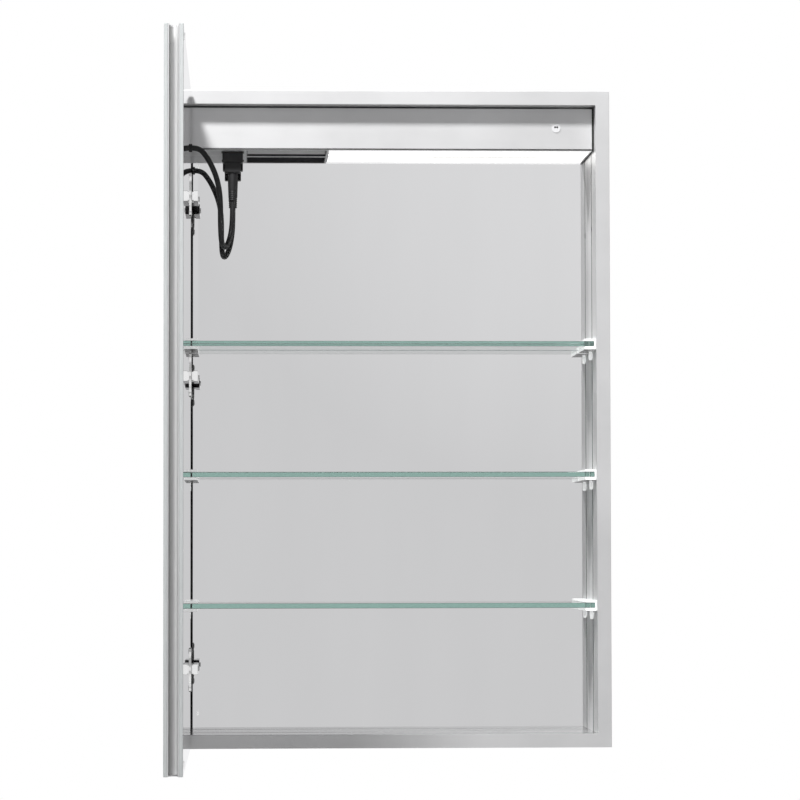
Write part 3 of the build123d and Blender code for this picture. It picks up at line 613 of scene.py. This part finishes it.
def sensor_eyes():
    """The sensor's two small dark windows."""
    low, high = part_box("sensor_eyes")
    middle = (low + high) / 2
    proud, sunk, edge = 0.4 * MM, 1.0 * MM, 0.1 * MM
    bm = bmesh.new()
    for side in (-1, 1):
        outline = [(-proud, 0), (-proud, eye_radius - edge), (edge - proud, eye_radius),
                   (sunk, eye_radius), (sunk, 0)]
        place = (middle.x + side * eye_pitch / 2, low.y, middle.z)
        lathe(bm, outline, place, (0, 1, 0), 24)
    add("sensor_eyes_finish", bm, [matte_black_and_painted_shade], "cabinet", "sensor_eyes", smooth=radians(20))


def outlet_well():
    """The outlets' rim, and the well behind it, whose pale back wall has a painted glow, with two outlets
    in its roof.
    """
    low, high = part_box("outlet_panel")
    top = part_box("outlet_box")[1].z
    edge = Vector((rim_width, rim_width, 0))
    mouth_low, mouth_high = low + edge, high - edge
    bm = bmesh.new()
    block(bm, low, (high.x, mouth_low.y, high.z), rim_bevel)
    block(bm, (low.x, mouth_high.y, low.z), high, rim_bevel)
    block(bm, (low.x, mouth_low.y, low.z), (mouth_low.x, mouth_high.y, high.z), rim_bevel)
    block(bm, (mouth_high.x, mouth_low.y, low.z), (high.x, mouth_high.y, high.z), rim_bevel)
    add("outlet_panel_finish", bm, [grey_plastic], "cabinet", "outlet_panel")
    roof = high.z + well_depth
    bm = bmesh.new()
    block(bm, (low.x, low.y, high.z), (high.x, mouth_low.y, top), 0)
    block(bm, (low.x, mouth_low.y, high.z), (mouth_low.x, high.y, top), 0)
    block(bm, (mouth_high.x, mouth_low.y, high.z), (high.x, high.y, top), 0)
    block(bm, (mouth_low.x, mouth_low.y, roof), (mouth_high.x, mouth_high.y, top), 0)
    add("outlet_box_finish", bm, [grey_plastic], "cabinet", "outlet_box")
    # The well's back wall, pale and with a painted glow.
    bm = bmesh.new()
    block(bm, (mouth_low.x, mouth_high.y, high.z), (mouth_high.x, high.y, roof), 0.1 * MM)
    add("outlet_back_wall", bm, [well_wall_painted_glow], "cabinet", slot=slot_of["outlet_panel"])
    outlets(mouth_low, mouth_high, roof)


def outlets(mouth_low, mouth_high, roof):
    """The two outlets' raised faces, each with its two slots and round earth hole, drawn as near-black
    blocks of painted shade.
    """
    faces, holes = bmesh.new(), bmesh.new()
    middle = (mouth_low + mouth_high) / 2
    half, corner, lift, hole_depth = 12.0 * MM, 2.0 * MM, 0.05 * MM, 0.3 * MM
    slot_side, slot_long, slot_place = 1.1 * MM, 7.0 * MM, 6.35 * MM
    earth_radius, earth_depth, earth_place = 2.4 * MM, 0.35 * MM, 8.6 * MM
    level_of_faces = roof - outlet_proud
    for x in (middle.x - outlet_pitch / 2, middle.x + outlet_pitch / 2):
        block(faces, (x - half, middle.y - half, level_of_faces),
              (x + half, middle.y + half, roof), corner, 3)
        for side in (-1, 1):
            at = x + side * slot_place
            block(holes, (at - slot_side, middle.y - slot_long / 2, level_of_faces - lift),
                  (at + slot_side, middle.y + slot_long / 2, level_of_faces + hole_depth), 0)
        lathe(holes, [(0, 0), (0, earth_radius), (earth_depth, earth_radius), (earth_depth, 0)],
              (x, middle.y + earth_place, level_of_faces - lift), (0, 0, 1), 24)
    add("outlet_faces", faces, [grey_plastic], "cabinet", slot=slot_of["outlet_panel"])
    add("outlet_slots", holes, [dark_lens], "cabinet", slot=slot_of["sensor_eyes"])


def lens_bezel():
    """The thin clear strip in front of the lens, whose painted glow stands for the lens's light at the
    head's front edge.
    """
    low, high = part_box("light_lens")
    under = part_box("head_tray")[0].z
    below, above = 0.1 * MM, 0.2 * MM
    bm = bmesh.new()
    block(bm, (low.x, bezel_front, under - below), (high.x, low.y - bezel_gap, under + above), 0)
    add("lens_bezel", bm, [bezel_painted_glow], "cabinet", slot=slot_of["light_lens"])


refine("head_front", 0.3 * MM, level)
# The tray's underside gets painted light and its steep faces painted shade.
refine("head_tray", 0.2 * MM, tray_painted_light, painted_shade_metal, faces=lambda face: int(abs(face.normal.z) < STEEP))
refine("head_end_caps", 0.2 * MM, black_plastic)
refine("head_bracket", 0.2 * MM, sheet_zinc)
refine("light_lens", 0.25 * MM, lens_light)
refine("light_board", 0.1 * MM, white_plastic)
refine("light_driver", 0.3 * MM, driver_can)
outlet_well()
refine("lead_socket", 0.2 * MM, black_plastic)
refine("sensor_housing", 0, pale_plastic)
sensor_eyes()
lens_bezel()


# ---- Door ----


groove_mouth, groove_floor = -609.9 * MM, -602.06 * MM
groove_end = 379.0 * MM


def groove_liner():
    """The finger groove's rounded inside, an extruded skin along the pull stile."""
    steps, depth, fullness = 14, 10.5 * MM, 0.8
    half = (groove_right - groove_left) / 2
    middle = (groove_right + groove_left) / 2
    outline = []
    for i in range(steps + 1):
        angle = pi * i / steps
        outline.append((middle - half * cos(angle), groove_mouth + depth * sin(angle) ** fullness))
    for i in range(steps + 1):
        angle = pi * i / steps
        outline.append((middle + half * cos(angle), groove_floor + half * sin(angle)))
    bm = bmesh.new()
    low = [bm.verts.new((x, y, -groove_end)) for x, y in outline]
    high = [bm.verts.new((x, y, groove_end)) for x, y in outline]
    for i in range(len(outline)):
        j = (i + 1) % len(outline)
        bm.faces.new([low[i], low[j], high[j], high[i]])
    bm.faces.new(low)
    bm.faces.new(high)
    bmesh.ops.recalc_face_normals(bm, faces=bm.faces)
    # The liner carries the groove's painted shade and painted light.
    add("groove_liner", bm, [groove_painted_shade], "door", slot=slot_of["pull_stile"])


def pane_with_painted_shade(face):
    """The inner pane's looks: its edge beside the hinges, which faces into the cabinet, is near black,
    painted shade for the narrow gap there.
    """
    if abs(face.normal.x) > SQUARE_ON:
        return 0
    return 2 if face.normal.y > STEEP else 1


refine("door_outer_mirror", 0.5 * MM, silver, pane_edge, faces=pane_faces(0))
# The inner pane's edge facing into the cabinet gets painted shade.
refine("door_inner_mirror", 0.5 * MM, silver, pane_edge, matte_black_and_painted_shade, faces=pane_with_painted_shade)
refine("hinge_stile", 0.25 * MM, upright)
refine("pull_stile", 0.25 * MM, upright)
groove_liner()
refine("door_top_rail", 0.2 * MM, level)
refine("door_bottom_rail", 0.2 * MM, level)
refine("door_end_caps", 0.3 * MM, black_plastic)
refine("door_filler", 0.2 * MM, filler)
refine("heater_pad", 0.1 * MM, film)
# The bumpers carry a painted glow.
refine("door_bumpers", 0, clear_dome_painted_glow)
refine("door_gland", 0.2 * MM, rubber)


# ---- Hinges ----


def shaded_face(face):
    """1 for a face that looks up, down or into the cabinet, which gets the painted shade, and 0
    elsewhere.
    """
    return int(abs(face.normal.z) > LEVEL or face.normal.y > STEEP)


# Hinge faces that look up, down or into the cabinet get painted shade; the rest a painted glow.
for number in "123":
    refine(f"hinge_cup_{number}", 0.2 * MM, nickel_painted_glow, nickel_painted_shade, faces=shaded_face)
    refine(f"hinge_arm_{number}", 0.5 * MM, nickel_painted_glow, nickel_painted_shade, faces=shaded_face)
    refine(f"hinge_plate_{number}", 0.4 * MM, nickel_painted_glow, nickel_painted_shade, faces=shaded_face)
refine("hinge_pins", 0.1 * MM, bright_zinc)
refine("hinge_plate_screws", 0.3 * MM, bright_zinc)
refine("hinge_adjusters", 0.2 * MM, bright_zinc)
refine("cup_screws", 0.2 * MM, bright_zinc)
refine("head_screws", 0.3 * MM, bright_zinc)


# ---- Shelves ----

for number in "123":
    refine(f"shelf_glass_{number}", 0.4 * MM, glass)
    # The clips and pegs carry a painted glow; the clips' downward faces get painted shade.
    refine(f"shelf_clips_{number}", 0.3 * MM, clip_plastic_painted_glow, clip_painted_shade_under,
           faces=lambda face: int(face.normal.z < -LEVEL))
    refine(f"shelf_pegs_{number}", 0.3 * MM, clip_plastic_painted_glow)

nodes["plug_blades"].material_slots[0].link = "OBJECT"
nodes["plug_blades"].material_slots[0].material = brass


# ---- Floor and light ----

floor_height = -2.1
floor_radius = 9.0


def make_floor():
    """A plain pale disc well below the cabinet."""
    bm = bmesh.new()
    bmesh.ops.create_circle(bm, cap_ends=True, segments=96, radius=floor_radius)
    mesh = bpy.data.meshes.new("floor")
    bm.to_mesh(mesh)
    bm.free()
    mesh.materials.append(moulded("pale_floor", (0.8, 0.8, 0.8), (0.84, 0.84, 0.84), (0.6, 0.7), 30.0))
    floor = bpy.data.objects.new("floor", mesh)
    floor.location.z = floor_height
    bpy.context.scene.collection.objects.link(floor)


def area_light(name, place, target, size, power):
    """A soft square light aimed at a point."""
    data = bpy.data.lights.new(name, "AREA")
    data.shape = "SQUARE"
    data.size = size
    data.energy = power
    lamp = bpy.data.objects.new(name, data)
    lamp.location = place
    lamp.rotation_euler = (Vector(target) - Vector(place)).to_track_quat("-Z", "Y").to_euler()
    bpy.context.scene.collection.objects.link(lamp)


def studio():
    """A white room to the camera, and a grey one, brighter straight ahead, to the object."""
    world = bpy.data.worlds.new("studio")
    bpy.context.scene.world = world
    world.use_nodes = True
    tree = world.node_tree
    tree.nodes.clear()
    link = tree.links.new
    place = tree.nodes.new("ShaderNodeTexCoord")
    ahead = tree.nodes.new("ShaderNodeVectorMath")
    ahead.operation = "DOT_PRODUCT"
    ahead.inputs[1].default_value = Vector((0.10, -0.98, 0.14)).normalized()
    link(place.outputs["Generated"], ahead.inputs[0])
    ramp = tree.nodes.new("ShaderNodeValToRGB")
    ramp.color_ramp.interpolation = "EASE"
    stops = [(0.0, 0.9), (0.03, 0.86), (0.06, 0.3), (0.45, 0.15), (0.93, 0.19), (0.977, 0.22),
             (0.9865, 0.635), (0.9965, 0.645), (1.0, 0.76)]
    for element, (spot, shade) in zip(ramp.color_ramp.elements, stops[:2]):
        element.position = spot
        element.color = (shade, shade, shade * 1.01, 1)
    for spot, shade in stops[2:]:
        ramp.color_ramp.elements.new(spot).color = (shade, shade, shade * 1.01, 1)
    half = tree.nodes.new("ShaderNodeMapRange")
    half.inputs["From Min"].default_value = -1.0
    link(ahead.outputs["Value"], half.inputs["Value"])
    link(half.outputs["Result"], ramp.inputs["Fac"])
    room = tree.nodes.new("ShaderNodeBackground")
    link(ramp.outputs["Color"], room.inputs["Color"])
    white = tree.nodes.new("ShaderNodeBackground")
    white.inputs["Color"].default_value = (1.0, 1.0, 1.0, 1)
    path = tree.nodes.new("ShaderNodeLightPath")
    either = tree.nodes.new("ShaderNodeMixShader")
    link(path.outputs["Is Camera Ray"], either.inputs["Fac"])
    link(room.outputs["Background"], either.inputs[1])
    link(white.outputs["Background"], either.inputs[2])
    output = tree.nodes.new("ShaderNodeOutputWorld")
    link(either.outputs["Shader"], output.inputs["Surface"])


make_floor()
studio()
key_place, key_target = (-1.0, -2.1, 2.5), (0.0, -0.1, 0.1)
key_size, key_power = 0.45, 169.0
area_light("key", key_place, key_target, key_size, key_power)
bpy.context.scene.view_settings.view_transform = "Standard"
